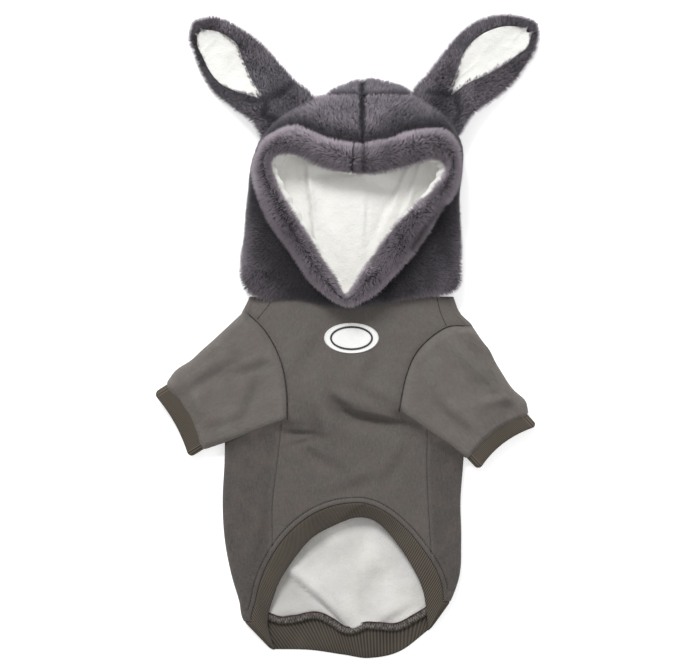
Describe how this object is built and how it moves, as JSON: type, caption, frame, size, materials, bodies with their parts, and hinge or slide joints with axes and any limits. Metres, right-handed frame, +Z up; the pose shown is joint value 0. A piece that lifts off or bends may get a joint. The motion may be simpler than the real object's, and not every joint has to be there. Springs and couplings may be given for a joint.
{
  "type": "dog hoodie",
  "caption": "Short-sleeved pet sweatshirt with a furry plush-lined hood, long ears, ribbed cuffs and an arched ribbed hem.",
  "frame": {"origin": "centre of the bounding box at its lowest point, where the garment lies", "axes": "+Y from hem to hood, +X to the right as seen from above the belly, +Z up from the surface"},
  "size_m": [0.3614, 0.5966, 0.0523],
  "materials": {
    "knit": "brushed sweatshirt knit, matt",
    "rib": "fine one by one rib, matt",
    "fur": "short dense faux fur",
    "plush": "short white plush",
    "fleece": "brushed fleece",
    "patch": "smooth matt rubber",
    "patch_ink": "matt"
  },
  "bodies": {
    "root": {"body_shell": "knit", "body_lining": "fleece", "hem_rib": "rib", "sleeve_left": "knit", "cuff_left": "rib", "sleeve_right": "knit", "cuff_right": "rib", "forehead_left": "fur", "hood_left": "fur", "forehead_right": "fur", "hood_right": "fur", "crown": "fur", "brim": "fur", "hood_lining": "plush", "ear_left": "fur", "ear_lining_left": "plush", "ear_right": "fur", "ear_lining_right": "plush", "chest_patch": "patch", "patch_ring": "patch_ink"}
  },
  "joints": []
}
